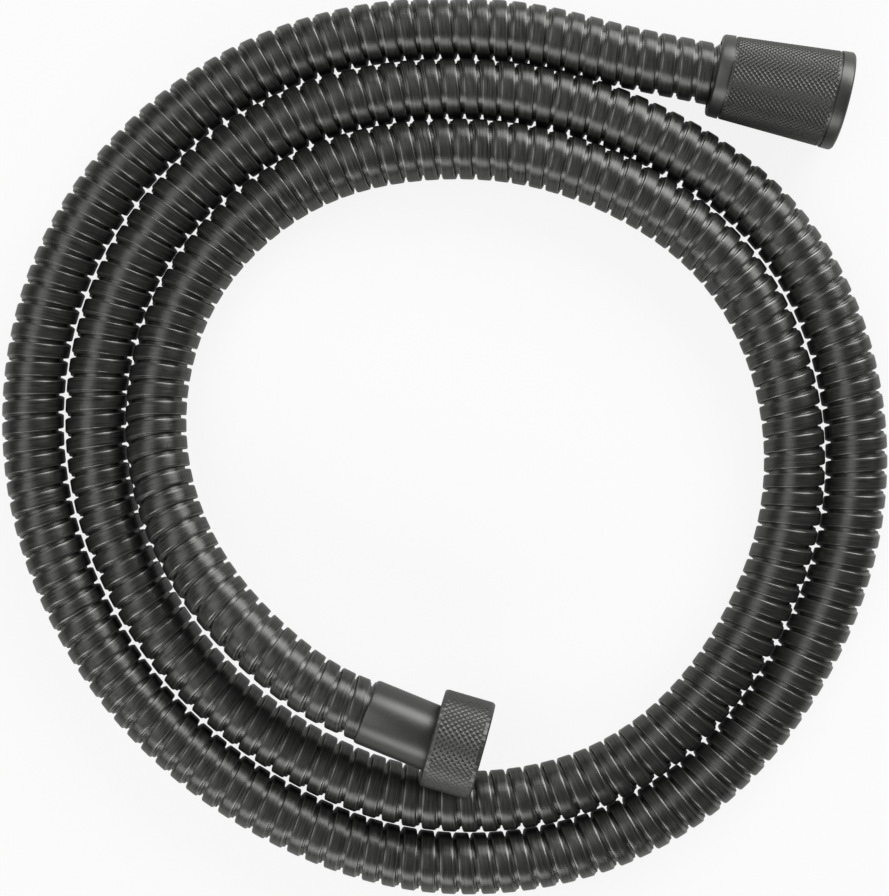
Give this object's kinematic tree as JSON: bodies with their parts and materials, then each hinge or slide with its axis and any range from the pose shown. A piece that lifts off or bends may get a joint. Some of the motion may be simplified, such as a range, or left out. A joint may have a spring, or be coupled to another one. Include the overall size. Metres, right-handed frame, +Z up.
{
  "type": "shower hose",
  "caption": "Satin black stripwound metal shower hose in a loose flat coil, with a knurled cone nut at the handset end and a knurled union nut on a smooth ferrule at the wall end.",
  "frame": {"origin": "the middle of the lying object's box, on the floor that it rests on", "axes": "+Z up from the floor, through the coil; +X towards the side that the cone nut's open mouth points to; +Y towards the side of the coil that the cone nut lies beside"},
  "size_m": [0.219, 0.2214, 0.0325],
  "materials": {
    "black_metal": "satin",
    "brass": "machined",
    "inner_hose_plastic": "matte",
    "ring_plastic": "matte",
    "washer_rubber": "matte"
  },
  "bodies": {
    "hose": {"metal_sleeve": "black_metal", "inner_hose": "inner_hose_plastic", "cone_crimp": "black_metal", "cone_insert": "brass", "cone_slide_ring": "ring_plastic", "nut_ferrule": "black_metal", "nut_insert": "brass", "nut_slide_ring": "ring_plastic"},
    "cone": {"cone_nut": "black_metal", "cone_seal_washer": "washer_rubber"},
    "nut": {"union_nut": "black_metal", "nut_seal_washer": "washer_rubber"}
  },
  "joints": [
    {"name": "cone_spin", "type": "hinge", "parent": "hose", "child": "cone", "pos_m": [0.09095, 0.08615, 0.01153], "axis": [0.9737, -0.2194, 0.0618], "continuous": true},
    {"name": "nut_spin", "type": "hinge", "parent": "hose", "child": "nut", "pos_m": [0.00577, -0.07256, 0.02033], "axis": [0.9609, -0.2719, 0.0523], "continuous": true}
  ]
}
